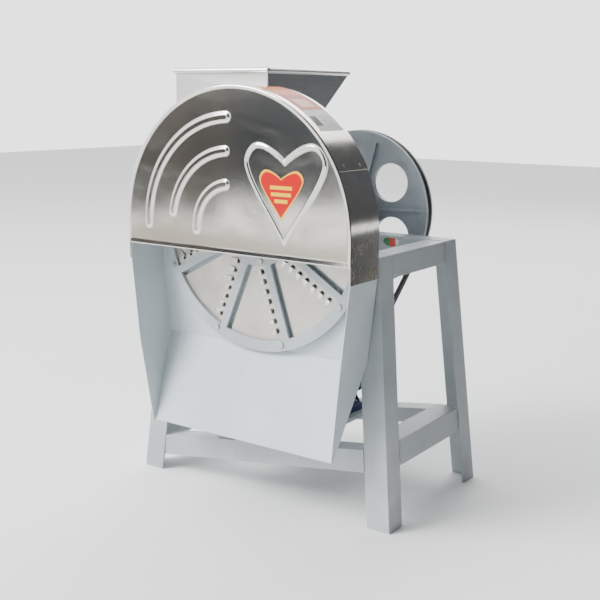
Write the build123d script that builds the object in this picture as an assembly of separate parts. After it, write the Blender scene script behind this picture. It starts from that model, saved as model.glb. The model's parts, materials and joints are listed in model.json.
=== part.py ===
"""Belt-driven disc shredder for roots and vegetables, on an angle-iron stand.

Millimetres. +Z is up, the front (cover, disc and chute) faces -Y, and the origin is on the floor,
in the middle of the whole machine.
"""
import os
from math import atan2, cos, degrees, hypot, radians, sin, sqrt

from build123d import *

# ---------------------------------------------------------------- stand
stand_top = 467.2            # top of the upper rails
stand_inset = 6.2            # leg corners inside the cover's edge, at the top
splay_x = 47.0               # how far a leg leans out sideways from top to floor
splay_y = 24.1               # and how far it leans out to the front or rear
stand_half_depth = 140.8
leg_gap = 0.34               # front legs behind the back plate, at its lower edge
leg_flange = 45.0
rail_flange = 40.0
angle_wall = 4.0
side_rail_top_right = 150.0
side_rail_top_left = 84.0
cross_rail_top_right = 137.0     # the two cross rails slope down to the left
cross_rail_top_left = 71.0

# ---------------------------------------------------------------- cover
face_y = -221.0
cover_half_width = 240.0
cover_drop = 41.3            # bottom edge of the face below the shaft
cover_arc_height = 42.8      # arc centre above the bottom edge
cover_depth = 87.8
skirt_drop = 28.8
sheet = 1.0
lap_height = 150.0           # lap seam above the bottom edge of the face
lap_length = 15.0
lip_width = 5.0
lip_height = 2.0
bead_height = 3.0
bead_insets = ((62.0, 44.0, 93.0, 181.0), (117.0, 100.0, 95.0, 171.0), (173.0, 155.0, 99.0, 184.0))
heart_inset = 129.0          # middle of the heart inside the cover's edge
heart_tip_height = 29.0
heart_width = 155.0
heart_tall = 157.0
heart_line = 6.0
decal_inset = 136.0
decal_tip_height = 65.0
decal_width = 88.0
decal_tall = 82.0
decal_thickness = 0.4
sticker_x = 97.0
sticker_drop = 17.0          # middle of the rail sticker below the rail's top
sticker_half_length = 17.0
sticker_half_height = 9.5
label_y_front = 14.0
label_y_rear = 8.0
label_gap = 0.1
label_angles = (80.0, 62.0, 44.5)
rivet_radius = 2.4
rivet_height = 0.7
rivet_edge = 20.0            # rivets from the edges of the band
fit_gap = 0.3                # between sheets that only touch

# ---------------------------------------------------------------- chamber and chute
plate_wall = 2.0
panel_wall = 1.5
fold_rise = 5.1              # the chute starts this far above the disc's lowest point
chute_bottom = 126.2
chute_lip_set = 16.0         # chute lip behind the cover face
panel_front_set = 3.0
panel_front_set_low = 13.0
fold_inset = 19.0            # side panels inside the cover's edge at the fold
chute_inset = 39.7           # and at the lip
shaft_hole_radius = 34.0
feed_rise = 48.3             # bottom of the feed opening above the shaft
feed_edge = 3.0              # the feed opening stops this far inside the disc's edge
stud_inset = 38.8            # back plate's studs inside the ends of the rail's web
nut_across = 13.0
nut_height = 6.0

# ---------------------------------------------------------------- hopper
hopper_inset = 16.6          # left wall inside the feed opening's circle
hopper_right = 4.1
hopper_rise = 39.0           # walls' top edges above the feed opening's circle; the rim lies on them
hopper_set = 12.2            # front wall behind the back plate
hopper_length = 256.0
tab_width = 20.0
tab_height = 24.0
tab_wall = 3.0
hopper_wall = 1.2
rim_radius = 5.0

# ---------------------------------------------------------------- main shaft, bearings and disc
shaft_radius = 12.5
shaft_overhang = 26.0        # shaft end behind the middle of the pulley
thread_radius = 8.0          # threaded front end
thread_length = 26.0
bearing_centre_height = 36.5
inner_ring_wall = 4.5
outer_ring_wall = 4.2
ring_gap = 4.8               # inner ring to outer ring
inner_ring_width = 30.0
outer_ring_width = 15.0
ball_radius = 3.97
ball_count = 9
race_gap = 0.08              # ball to inner race
outer_race_gap = 0.33        # ball to outer race
housing_end = 17.5           # foot past the bolts
bolt_clear = 8.5             # bolts outside the foot of the neck
housing_bolt_radius = 5.0
housing_depth = 36.0
housing_wall = 9.0           # around the outer ring
housing_foot = 14.0
disc_set = 13.3              # front of the disc rim ahead of the back plate
disc_clearance = 15.0        # disc inside the cover's edge
disc_rim_width = 20.0
disc_frame_wall = 5.5
disc_hub_radius = 42.0
disc_flange_radius = 72.0
spoke_count = 9
spoke_width = 13.0
spoke_first_angle = -152.0
blade_wall = 1.5
blade_slot = 8.0
blade_edge = 4.0             # plates inside the disc's edge
tooth_count = 7
tooth_first_radius = 80.0
tooth_pitch = 18.0
tooth_offset = 17.5          # open end of a tooth's tongue from the middle of the spoke beside it
tooth_length = 15.0
tooth_width = 10.5
tooth_height = 5.2
mouth_width = 7.0            # the slot in front of a tongue
mouth_length = 4.2
cut_tooth_height = 2.2
cut_tooth_length = 6.0
screw_radius = 3.0
disc_boss = 12.0             # hub ahead of the disc
bore_gap = 0.02

# ---------------------------------------------------------------- belt drive
pulley_set = 39.8            # middle of the belt behind the rear top rail
pulley_radius = 157.5
pulley_width = 20.0
motor_pulley_radius = 42.0
belt_top_width = 12.6
belt_bottom_width = 8.0
belt_height = 8.0
belt_seat = 0.8              # belt back below the rim
groove_gap = 0.4
groove_depth = 11.0
web_wall = 8.0
web_hole_count = 5
web_rim_margin = 12.5        # hole to rim
web_hub_margin = 22.0        # hole to hub
web_first_angle = 39.0
pulley_hub_radius = 30.0
pulley_hub_length = 34.0
rim_wall = 6.0

# ---------------------------------------------------------------- motor
motor_height = 90.0          # shaft above the feet
motor_foot_x = -5.5          # middle of the feet across the stand
motor_under_gap = 10.0       # body above the plate
motor_fin_height = 7.0
motor_fin_count = 36
rotor_inset = 36.0
stator_gap = 0.6
motor_set = 49.0             # drive end ahead of the belt
motor_length = 273.0
motor_shaft_radius = 12.0
motor_foot_pitch_x = 140.0
motor_foot_pitch_y = 125.0
motor_foot_set = 127.0       # middle of the feet ahead of the drive end
motor_body_wall = 10.0
foot_wall = 12.0
spanner_room = 26.0
base_plate_wall = 8.0
base_plate_width = 206.0

# ---------------------------------------------------------------- derived places
shaft_z = stand_top + bearing_centre_height
cover_bottom = shaft_z - cover_drop
arc_z = cover_bottom + cover_arc_height
cover_rear_y = face_y + cover_depth
back_y = cover_rear_y - plate_wall
disc_y = back_y - disc_set
disc_radius = cover_half_width - disc_clearance
blade_outer_radius = disc_radius - blade_edge
feed_radius = disc_radius - feed_edge
feed_bottom = shaft_z + feed_rise
fold_height = shaft_z - disc_radius + fold_rise
fold_half_width = cover_half_width - fold_inset
chute_half_width = cover_half_width - chute_inset
bead_radii = [(cover_half_width - inner, cover_half_width - outer, start, end)
              for inner, outer, start, end in bead_insets]
heart_centre_x = cover_half_width - heart_inset
decal_centre_x = cover_half_width - decal_inset
stand_half_width = cover_half_width - stand_inset
foot_half_width = stand_half_width + splay_x
foot_half_depth = stand_half_depth + splay_y
leg_lean_x = splay_x / stand_top
leg_lean_y = splay_y / stand_top
stand_centre_y = back_y + plate_wall + leg_gap + foot_half_depth - leg_lean_y * fold_height
hopper_left = -(feed_radius - hopper_inset)
hopper_top = shaft_z + feed_radius + hopper_rise
hopper_front_y = back_y + hopper_set
hopper_rear_y = hopper_front_y + hopper_length
inner_ring_radius = shaft_radius + inner_ring_wall
outer_ring_bore = inner_ring_radius + ring_gap
outer_ring_radius = outer_ring_bore + outer_ring_wall
race_circle = inner_ring_radius + ring_gap / 2
housing_head_radius = outer_ring_radius + housing_wall
housing_neck = housing_head_radius + housing_wall
housing_bolt_pitch = 2 * (housing_neck + bolt_clear)
housing_length = housing_bolt_pitch + 2 * housing_end
pulley_y = stand_centre_y + stand_half_depth + pulley_set
shaft_rear_y = pulley_y + shaft_overhang
rim_inner_radius = pulley_radius - groove_depth - rim_wall
web_hole_radius = (rim_inner_radius - web_rim_margin - pulley_hub_radius - web_hub_margin) / 2
web_hole_circle = rim_inner_radius - web_rim_margin - web_hole_radius
motor_body_radius = motor_height - motor_under_gap
motor_fin_radius = motor_body_radius + motor_fin_height
rotor_radius = motor_body_radius - rotor_inset
motor_drive_y = pulley_y - motor_set
motor_front_y = motor_drive_y - motor_length
motor_mid_y = motor_drive_y - motor_foot_set
cross_left_x = -(foot_half_width - leg_lean_x * cross_rail_top_left - leg_flange)
cross_right_x = foot_half_width - leg_lean_x * cross_rail_top_right - leg_flange
cross_slope = (cross_rail_top_right - cross_rail_top_left) / (cross_right_x - cross_left_x)
motor_tilt = degrees(atan2(cross_slope, 1.0))
base_z = cross_rail_top_left + cross_slope * (motor_foot_x - cross_left_x)
plate_lift = base_plate_wall / cos(radians(motor_tilt))
motor_x = motor_foot_x - motor_height * sin(radians(motor_tilt))
motor_z = base_z + plate_lift + motor_height * cos(radians(motor_tilt))
front_bearing_y = stand_centre_y - stand_half_depth + rail_flange / 2
rear_bearing_y = stand_centre_y + stand_half_depth - rail_flange / 2


# ---------------------------------------------------------------- helpers
def block(x0, x1, y0, y1, z0, z1):
    centre = Pos((x0 + x1) / 2, (y0 + y1) / 2, (z0 + z1) / 2)
    return centre * Box(x1 - x0, y1 - y0, z1 - z0)


def prism_x(points, x0, x1):
    """Extrude an outline of (y, z) points from x0 to x1."""
    outline = Polyline(*[(x0, y, z) for y, z in points], close=True)
    return extrude(make_face(outline), amount=x1 - x0, dir=(1, 0, 0))


def prism_y(points, y0, y1):
    """Extrude an outline of (x, z) points from y0 to y1."""
    outline = Polyline(*[(x, y0, z) for x, z in points], close=True)
    return extrude(make_face(outline), amount=y1 - y0, dir=(0, 1, 0))


def rod_y(radius, y0, y1, x=0.0, z=0.0):
    return Pos(x, (y0 + y1) / 2, z) * Rot(90, 0, 0) * Cylinder(radius, y1 - y0)


def rod_z(radius, z0, z1, x=0.0, y=0.0):
    return Pos(x, y, (z0 + z1) / 2) * Cylinder(radius, z1 - z0)


def hex_z(across, z0, z1, x, y):
    return Pos(x, y, z0) * extrude(RegularPolygon(across / sqrt(3), 6), amount=z1 - z0)


def hex_y(across, y0, y1, x, z):
    return Pos(x, y1, z) * Rot(90, 0, 0) * extrude(RegularPolygon(across / sqrt(3), 6), amount=y1 - y0)


def turned(points, x=0.0, z=0.0):
    """Turn an outline of (radius, y) points about a line along Y."""
    outline = Polyline(*[(r, y, 0) for r, y in points], close=True)
    return Pos(x, 0, z) * revolve(make_face(outline), axis=Axis.Y)


def about_shaft(shape, angle):
    """Turn a piece about the main shaft; angles rise from +X towards +Z."""
    return Pos(0, 0, shaft_z) * Rot(0, -angle, 0) * shape


def leg_x(z):
    return foot_half_width - leg_lean_x * z


def leg_front_y(z):
    return stand_centre_y - foot_half_depth + leg_lean_y * z


def leg_rear_y(z):
    return stand_centre_y + foot_half_depth - leg_lean_y * z


def save(name, *shapes):
    solids = []
    for shape in shapes:
        solids.extend(shape.solids())
    piece = solids[0] if len(solids) == 1 else Compound(children=solids)
    piece.label = name
    export_step(piece, os.path.join("parts", name + ".step"))


# ---------------------------------------------------------------- stand
def leg(side_x, side_y):
    """One leg of angle iron; its corner leans outwards from the top to the floor."""
    corner_y = stand_centre_y + side_y * foot_half_depth
    points = ((0, 0), (leg_flange, 0), (leg_flange, angle_wall), (angle_wall, angle_wall),
              (angle_wall, leg_flange), (0, leg_flange))
    placed = [(side_x * (foot_half_width - u), corner_y - side_y * v, 0) for u, v in points]
    lean = Vector(-side_x * leg_lean_x * stand_top, -side_y * leg_lean_y * stand_top, stand_top)
    return extrude(make_face(Polyline(*placed, close=True)), amount=lean.length, dir=lean.normalized())


def top_cross_rail(side_y):
    """Front or rear top rail: a leaning web between the legs and a flat flange that the bearings sit on."""
    outer = stand_centre_y + side_y * stand_half_depth
    low = stand_top - rail_flange
    lean = leg_lean_y * rail_flange
    web = prism_x([(outer, stand_top), (outer + side_y * lean, low),
                   (outer + side_y * (lean - angle_wall), low),
                   (outer - side_y * angle_wall, stand_top - angle_wall),
                   (outer - side_y * angle_wall * 2, stand_top - angle_wall),
                   (outer - side_y * angle_wall * 2, stand_top)], -foot_half_width, foot_half_width)
    edge_top = leg_x(stand_top) - leg_flange
    edge_low = leg_x(low) - leg_flange
    web &= prism_y([(-edge_top, stand_top), (edge_top, stand_top), (edge_low, low), (-edge_low, low)],
                   -foot_half_depth * 2, foot_half_depth * 2)
    inner = stand_half_width - angle_wall
    ends = sorted((outer - side_y * angle_wall, outer - side_y * rail_flange))
    flange = block(-inner, inner, *ends, stand_top - angle_wall, stand_top)
    flange -= bearing_bolt_holes(side_y)
    return web + flange


def bearing_bolt_holes(side_y):
    y = front_bearing_y if side_y < 0 else rear_bearing_y
    reach = housing_bolt_pitch / 2
    radius = housing_bolt_radius + 0.5
    left, right = [rod_z(radius, stand_top - 20, stand_top + 20, x, y) for x in (-reach, reach)]
    return left + right


def side_rail(side_x, top, flange):
    """A rail along Y between two legs, its web in the plane of the legs' side flanges."""
    low = top - flange
    outline = [(leg_x(top), top), (leg_x(low), low), (leg_x(low) - angle_wall, low),
               (leg_x(top - angle_wall) - angle_wall, top - angle_wall),
               (leg_x(top) - flange, top - angle_wall), (leg_x(top) - flange, top)]
    if side_x < 0:
        outline = [(-x, z) for x, z in outline]
    if top == stand_top:
        y0 = leg_front_y(top) + max(rail_flange, leg_flange)
        y1 = leg_rear_y(top) - max(rail_flange, leg_flange)
    else:
        y0 = leg_front_y(top) + leg_flange
        y1 = leg_rear_y(top) - leg_flange
    return prism_y(outline, y0, y1)


def cross_rail(side_y):
    """A lower rail across the stand; it slopes down to the left and carries the motor plate."""
    def top_at(x):
        return cross_rail_top_left + cross_slope * (x - cross_left_x)
    low_left = cross_rail_top_left - rail_flange
    low_right = cross_rail_top_right - rail_flange
    left_low_x = -(leg_x(low_left) - leg_flange)
    right_low_x = leg_x(low_right) - leg_flange
    middle = (cross_rail_top_left + cross_rail_top_right - rail_flange) / 2
    outer = leg_front_y(middle) if side_y < 0 else leg_rear_y(middle)
    web_ends = sorted((outer, outer - side_y * angle_wall))
    web = prism_y([(cross_left_x, top_at(cross_left_x)), (cross_right_x, top_at(cross_right_x)),
                   (right_low_x, low_right), (left_low_x, low_left)], *web_ends)
    flange_ends = sorted((outer - side_y * angle_wall, outer - side_y * rail_flange))
    flange = prism_y([(cross_left_x, top_at(cross_left_x)), (cross_right_x, top_at(cross_right_x)),
                      (cross_right_x, top_at(cross_right_x) - angle_wall),
                      (cross_left_x, top_at(cross_left_x) - angle_wall)], *flange_ends)
    rail = web + flange
    for hole in motor_plate_bolts(housing_bolt_radius + 0.5, -30, 30, side_y):
        rail -= hole
    return rail


def on_motor_plate(shape):
    """Place a piece drawn with the plate's top at z = 0 and its middle at x = 0 on the tilted plate."""
    return Pos(motor_foot_x, 0, base_z + plate_lift) * Rot(0, -motor_tilt, 0) * shape


def plate_end_y(side_y):
    middle = (cross_rail_top_left + cross_rail_top_right - rail_flange) / 2
    outer = leg_front_y(middle) if side_y < 0 else leg_rear_y(middle)
    return outer - side_y * (angle_wall + 4)


def motor_plate_bolts(radius, z0, z1, side_y):
    y = plate_end_y(side_y) - side_y * 16
    reach = base_plate_width / 2 - 22
    return [on_motor_plate(rod_z(radius, z0, z1, side * reach, y)) for side in (-1, 1)]


# ---------------------------------------------------------------- cover
def arch(radius, half_width, bottom, y0, y1, centre=None):
    """A plate with a round top: a half disc over a straight part."""
    middle = arc_z if centre is None else centre
    plate = rod_y(radius, y0, y1, 0, middle)
    plate &= block(-radius - 1, radius + 1, y0, y1, middle, middle + radius + 1)
    return plate + block(-half_width, half_width, y0, y1, bottom, middle)


def bead_arc(inner, outer, start, end):
    """A raised half-round bead that follows an arc, with round ends."""
    middle = (inner + outer) / 2
    half = (outer - inner) / 2
    front = face_y - bead_height
    ring = rod_y(outer, front, face_y, 0, arc_z) - rod_y(inner, front, face_y, 0, arc_z)
    far = outer * 3
    steps = 6
    fan = [(0, arc_z)]
    for i in range(steps + 1):
        angle = radians(start + (end - start) * i / steps)
        fan.append((far * cos(angle), arc_z + far * sin(angle)))
    ring &= prism_y(fan, front, face_y)
    for angle in (radians(start), radians(end)):
        ring += rod_y(half, front, face_y, middle * cos(angle), arc_z + middle * sin(angle))
    return ring


def heart_wire(width, tall, y, centre_x, tip_z):
    """A heart: two straight-ish flanks up from the tip and two round lobes that meet in a notch."""
    top = tip_z + tall
    lobe = width / 4
    shoulder = top - lobe * 1.1
    notch = top - tall * 0.17
    half = []
    for side in (1, -1):
        outer = (centre_x + side * width / 2, y, shoulder)
        crown = (centre_x + side * lobe * 1.15, y, top)
        flank = Spline((centre_x, y, tip_z), outer, tangents=((side * 0.55, 0, 1), (side * 0.02, 0, 1)))
        lobe_edge = Spline(outer, crown, (centre_x, y, notch), tangents=((0, 0, 1), (-side * 0.55, 0, -1)))
        half.extend([flank, lobe_edge])
    return half


def heart_plate(width, tall, centre_x, tip_z, y0, y1):
    edges = heart_wire(width, tall, y0, centre_x, tip_z)
    return extrude(make_face(edges), amount=y1 - y0, dir=(0, 1, 0))


def cover_face():
    plate = arch(cover_half_width, cover_half_width, cover_bottom, face_y, face_y + sheet)
    lip = arch(cover_half_width, cover_half_width, cover_bottom, face_y - lip_height, face_y)
    inner = cover_half_width - lip_width
    lip -= arch(inner, inner, cover_bottom - 1, face_y - lip_height - 1, face_y + 0.001)
    hem = block(-inner, inner, face_y - lip_height / 2, face_y, cover_bottom, cover_bottom + lip_width)
    plate += lip + hem
    for inner_radius, outer_radius, start, end in bead_radii:
        plate += bead_arc(inner_radius, outer_radius, start, end)
    tip = cover_bottom + heart_tip_height
    ridge = heart_plate(heart_width, heart_tall, heart_centre_x, tip, face_y - bead_height * 0.7, face_y)
    hollow = heart_plate(heart_width - 2 * heart_line, heart_tall - 2.6 * heart_line, heart_centre_x,
                         tip + 1.7 * heart_line, face_y - bead_height, face_y + 0.001)
    return plate + (ridge - hollow)


def band(outer, y0, y1, low, high):
    """The part of the cover's rim band between two heights."""
    bottom = cover_bottom - skirt_drop
    shell = arch(outer, outer, bottom, y0, y1)
    shell -= arch(outer - sheet, outer - sheet, bottom - 1, y0 - 1, y1 + 1)
    return shell & block(-outer - 1, outer + 1, y0, y1, low, high)


def cover_bands():
    y0 = face_y + sheet
    lap = cover_bottom + lap_height
    upper = band(cover_half_width, y0, cover_rear_y, lap, arc_z + cover_half_width + 1)
    skirt_bottom = cover_bottom - skirt_drop
    lower = band(cover_half_width - sheet - fit_gap, y0, cover_rear_y, skirt_bottom, lap + lap_length)
    sides = lower.solids().sort_by(Axis.X)
    return upper, sides[0], sides[-1]


def cover_rivets():
    """Pop rivets that hold the laps and the lower corners of the band."""
    heads = []
    lap = cover_bottom + lap_height + lap_length / 2
    outer = cover_half_width
    angle = degrees(atan2(lap - arc_z, sqrt(outer ** 2 - (lap - arc_z) ** 2)))
    for y in (face_y + rivet_edge, cover_rear_y - rivet_edge):
        for turn in (angle, 180 - angle):
            head = Pos(0, y, arc_z) * Rot(0, -turn, 0) * Pos(outer, 0, 0) * Rot(0, 90, 0) * Cylinder(
                rivet_radius, rivet_height, align=(Align.CENTER, Align.CENTER, Align.MIN))
            heads.append(head)
    return heads


def heart_decal():
    tip = cover_bottom + decal_tip_height
    return heart_plate(decal_width, decal_tall, decal_centre_x, tip, face_y - decal_thickness, face_y)


def band_label():
    """A thin wrap-round label on the upper right of the band."""
    y0 = face_y + label_y_front
    y1 = cover_rear_y - label_y_rear
    under = cover_half_width + label_gap
    shell = rod_y(under + decal_thickness, y0, y1, 0, arc_z) - rod_y(under, y0, y1, 0, arc_z)
    reach = cover_half_width * 3
    fan = [(0, arc_z)]
    for angle in label_angles:
        fan.append((reach * cos(radians(angle)), arc_z + reach * sin(radians(angle))))
    return shell & prism_y(fan, y0, y1)


# ---------------------------------------------------------------- chamber and chute
def chamber_half(z):
    """Half width of the side panels' outer face at a height."""
    skirt_bottom = cover_bottom - skirt_drop
    widest = cover_half_width - 2 * sheet - 2 * fit_gap
    if z >= skirt_bottom:
        return widest
    if z >= fold_height:
        return fold_half_width + (widest - fold_half_width) * (z - fold_height) / (skirt_bottom - fold_height)
    share = (z - chute_bottom) / (fold_height - chute_bottom)
    return chute_half_width + (fold_half_width - chute_half_width) * share


def side_panel(side):
    heights = (chute_bottom, fold_height, cover_bottom - skirt_drop, arc_z)
    outer = [(side * chamber_half(z), z) for z in heights]
    inner = [(side * (chamber_half(z) - panel_wall), z) for z in reversed(heights)]
    wall = prism_y(outer + inner, face_y, back_y)
    side_view = [(face_y + panel_front_set_low, chute_bottom), (face_y + panel_front_set, fold_height),
                 (face_y + panel_front_set, arc_z), (back_y, arc_z), (back_y, fold_height),
                 (face_y + chute_lip_set + chute_skin(), chute_bottom)]
    return wall & prism_x(side_view, -cover_half_width, cover_half_width)


def chute_skin():
    """Width of the chute panel's wall measured along Y."""
    run = back_y - face_y - chute_lip_set
    return panel_wall * hypot(run, fold_height - chute_bottom) / (fold_height - chute_bottom)


def chute_panel():
    lip_y = face_y + chute_lip_set
    sheet_run = prism_x([(lip_y, chute_bottom), (back_y, fold_height), (back_y + chute_skin(), fold_height),
                         (lip_y + chute_skin(), chute_bottom)], -cover_half_width, cover_half_width)
    heights = (chute_bottom, fold_height)
    right = [(chamber_half(z) - panel_wall, z) for z in heights]
    left = [(-x, z) for x, z in reversed(right)]
    return sheet_run & prism_y(right + left, face_y, back_y + 5)


def back_plate():
    radius = cover_half_width - 2 * sheet - 2 * fit_gap - 0.2
    plate = arch(radius, radius, cover_bottom - skirt_drop, back_y, back_y + plate_wall)
    low = [(chamber_half(z) - 0.2, z) for z in (fold_height, cover_bottom - skirt_drop)]
    plate += prism_y(low + [(-x, z) for x, z in reversed(low)], back_y, back_y + plate_wall)
    plate -= rod_y(shaft_hole_radius, back_y - 1, back_y + plate_wall + 1, 0, shaft_z)
    return plate - feed_space(back_y - 1, back_y + plate_wall + 1, feed_radius)


def feed_space(y0, y1, radius):
    """The feed opening's shape: the hopper's width, cut off by a circle about the shaft."""
    width = block(hopper_left + hopper_wall, hopper_right - hopper_wall, y0, y1, feed_bottom, hopper_top)
    return rod_y(radius, y0, y1, 0, shaft_z) & width


def feed_top(x):
    """Where the feed opening's round top meets the inside of a hopper side wall."""
    return shaft_z + sqrt(feed_radius ** 2 - x ** 2)


def back_plate_packer():
    """A filling strip between the back plate and the leaning face of the front top rail."""
    low = stand_top - rail_flange + 3
    high = stand_top - 3
    rear_low = leg_front_y(low) - 0.02
    rear_high = leg_front_y(high) - 0.02
    front = back_y + plate_wall
    length = stand_half_width - leg_flange - 8
    return prism_x([(front, low), (rear_low, low), (rear_high, high), (front, high)], -length, length)


def back_plate_bolts():
    """Nuts behind the rail's web; the studs' front ends are flush with the back plate."""
    z = stand_top - rail_flange / 2 - angle_wall
    web = leg_front_y(z) + angle_wall + 2 * fit_gap
    reach = stand_half_width - leg_flange - stud_inset
    return [hex_y(nut_across, web, web + nut_height, x, z) for x in (-reach, reach)]


# ---------------------------------------------------------------- hopper
def hopper_side(x0, x1, inner_x):
    throat = back_y + plate_wall
    top = feed_top(inner_x)
    return prism_x([(throat, feed_bottom), (hopper_rear_y, hopper_top), (hopper_front_y, hopper_top),
                    (hopper_front_y, top), (throat, top)], x0, x1)


def hopper_front():
    """The upright front wall and the round roof of the throat that joins it to the back plate."""
    throat = back_y + plate_wall
    foot = feed_top(hopper_left + hopper_wall)
    wall = block(hopper_left + hopper_wall, hopper_right - hopper_wall, hopper_front_y,
                 hopper_front_y + hopper_wall, foot, hopper_top)
    wall -= rod_y(feed_radius, hopper_front_y - 1, hopper_front_y + hopper_wall + 1, 0, shaft_z)
    roof = feed_space(throat, hopper_front_y + hopper_wall, feed_radius + hopper_wall)
    roof &= block(hopper_left + hopper_wall, hopper_right - hopper_wall, throat, hopper_front_y + hopper_wall,
                  foot, hopper_top)
    roof -= rod_y(feed_radius, throat - 1, hopper_front_y + hopper_wall + 1, 0, shaft_z)
    return wall + roof


def hopper_rear():
    throat = back_y + plate_wall
    rise = hopper_wall * hypot(hopper_rear_y - throat, hopper_top - feed_bottom) / (hopper_rear_y - throat)
    run = hopper_wall * hypot(hopper_rear_y - throat, hopper_top - feed_bottom) / (hopper_top - feed_bottom)
    return prism_x([(throat, feed_bottom), (hopper_rear_y, hopper_top), (hopper_rear_y - run, hopper_top),
                    (throat, feed_bottom + rise)], hopper_left + hopper_wall, hopper_right - hopper_wall)


def hopper_rim():
    """Round wired edge that the four walls are rolled over; its wire lies on their top edges."""
    z = hopper_top + rim_radius
    x0, x1 = hopper_left, hopper_right
    y0, y1 = hopper_front_y, hopper_rear_y
    bars = [Pos((x0 + x1) / 2, y, z) * Rot(0, 90, 0) * Cylinder(rim_radius, x1 - x0) for y in (y0, y1)]
    bars += [rod_y(rim_radius, y0, y1, x, z) for x in (x0, x1)]
    bars += [Pos(x, y, z) * Sphere(rim_radius) for x in (x0, x1) for y in (y0, y1)]
    rim = bars[0]
    for bar in bars[1:]:
        rim += bar
    return rim


def hopper_bolts():
    """Bolts through tabs on the hopper's sides into the back plate."""
    pieces = []
    throat = back_y + plate_wall
    for side, x, rise in ((-1, hopper_left, 10), (1, hopper_right, 35), (1, hopper_right, 115)):
        z = feed_bottom + rise
        ends = sorted((x, x + side * tab_width))
        tab = block(*ends, throat, throat + tab_wall, z - tab_height / 2, z + tab_height / 2)
        head = hex_y(10, throat + tab_wall, throat + tab_wall + 4, x + side * 11, z)
        pieces.append(tab + head)
    return pieces


# ---------------------------------------------------------------- bearings
def bearing_housing(y):
    """A pillow block: a flat foot with a round head, bored for the bearing's outer ring."""
    half = housing_depth / 2
    top = stand_top + housing_foot
    foot = block(-housing_length / 2, housing_length / 2, y - half + 2, y + half - 2, stand_top, top)
    foot = fillet(foot.edges().filter_by(Axis.Z), 12)
    head = rod_y(housing_head_radius, y - half + 4, y + half - 4, 0, shaft_z)
    high = housing_head_radius - 3
    neck = prism_y([(-housing_neck, top - 4), (housing_neck, top - 4), (high, shaft_z), (-high, shaft_z)],
                   y - half + 6, y + half - 6)
    body = foot + head + neck
    body &= block(-housing_length, housing_length, y - 50, y + 50, stand_top, stand_top + 200)
    body -= rod_y(outer_ring_radius, y - 40, y + 40, 0, shaft_z)
    for side in (-1, 1):
        x = side * housing_bolt_pitch / 2
        body -= rod_z(housing_bolt_radius + 0.8, stand_top - 1, stand_top + 30, x, y)
    body -= rod_z(2.6, shaft_z + outer_ring_bore, shaft_z + housing_head_radius * 2, 0, y)
    return body


def bearing_outer_ring(y):
    half = outer_ring_width / 2
    ring = rod_y(outer_ring_radius, y - half, y + half, 0, shaft_z)
    ring -= rod_y(outer_ring_bore, y - half - 1, y + half + 1, 0, shaft_z)
    return ring - race(y, ball_radius + outer_race_gap)


def race(y, radius):
    """The ring-shaped groove that the balls run in."""
    groove = revolve(Pos(race_circle, y, 0) * Circle(radius), axis=Axis.Y)
    return Pos(0, 0, shaft_z) * groove


def bearing_inner_ring(y):
    half = inner_ring_width / 2
    ring = rod_y(inner_ring_radius, y - half, y + half, 0, shaft_z)
    ring -= rod_y(shaft_radius, y - half - 1, y + half + 1, 0, shaft_z)
    return ring - race(y, ball_radius + race_gap)


def bearing_balls(y):
    pitch = 360 / ball_count
    return [Pos(0, y, shaft_z) * Rot(0, pitch * i, 0) * Pos(race_circle, 0, 0) * Sphere(ball_radius)
            for i in range(ball_count)]


def grease_nipple(y):
    top = shaft_z + housing_head_radius
    stem = rod_z(2.5, top - 7, top + 4, 0, y) + hex_z(7, top + 0.1, top + 4, 0, y)
    return stem + rod_z(3, top + 4, top + 7, 0, y) + Pos(0, y, top + 8) * Sphere(2.6)


def bearing_bolts():
    pieces = []
    seat = stand_top + housing_foot
    for y in (front_bearing_y, rear_bearing_y):
        for side in (-1, 1):
            x = side * housing_bolt_pitch / 2
            bolt = rod_z(housing_bolt_radius, stand_top - angle_wall - 12, seat, x, y)
            bolt += hex_z(16, seat + 2, seat + 9, x, y)
            bolt += rod_z(10, seat, seat + 2, x, y)
            bolt += hex_z(16, stand_top - angle_wall - 9, stand_top - angle_wall, x, y)
            pieces.append(bolt)
    return pieces


# ---------------------------------------------------------------- main shaft and disc
def main_shaft():
    step = disc_y - disc_boss
    shaft = rod_y(shaft_radius, step, shaft_rear_y, 0, shaft_z)
    shaft += rod_y(thread_radius, step - thread_length, step, 0, shaft_z)
    return shaft - key_block(pulley_y, shaft_radius, shaft_z, 0, pulley_hub_length)


def key_block(y, radius, z, x, length):
    """A square key, half in the shaft and half in the hub."""
    return block(x - 4, x + 4, y - length / 2, y + length / 2, z + radius - 4, z + radius + 3)


def spoke_angle(index):
    return spoke_first_angle + 360 / spoke_count * index


def disc_screw_places():
    places = []
    for i in range(spoke_count):
        places.append((disc_radius - disc_rim_width / 2 - 2, spoke_angle(i) - 3.4))
        places.append((disc_flange_radius - 9, spoke_angle(i) - 11.0))
    return places


def cutting_disc():
    back = disc_y + disc_frame_wall
    frame = rod_y(disc_radius, disc_y, back) - rod_y(disc_radius - disc_rim_width, disc_y - 1, back + 1)
    frame += rod_y(disc_flange_radius, disc_y, back)
    for i in range(spoke_count):
        bar = block(disc_hub_radius, disc_radius - disc_rim_width + 4, disc_y, back,
                    -spoke_width / 2, spoke_width / 2)
        frame += Rot(0, -spoke_angle(i), 0) * bar
    frame += rod_y(disc_hub_radius, disc_y - disc_boss, back)
    frame -= rod_y(shaft_radius + bore_gap, disc_y - 20, back + 20)
    for radius, angle in disc_screw_places():
        frame -= Rot(0, -angle, 0) * rod_y(screw_radius, disc_y - 1, back + 1, radius, 0)
    return Pos(0, 0, shaft_z) * frame


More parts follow.
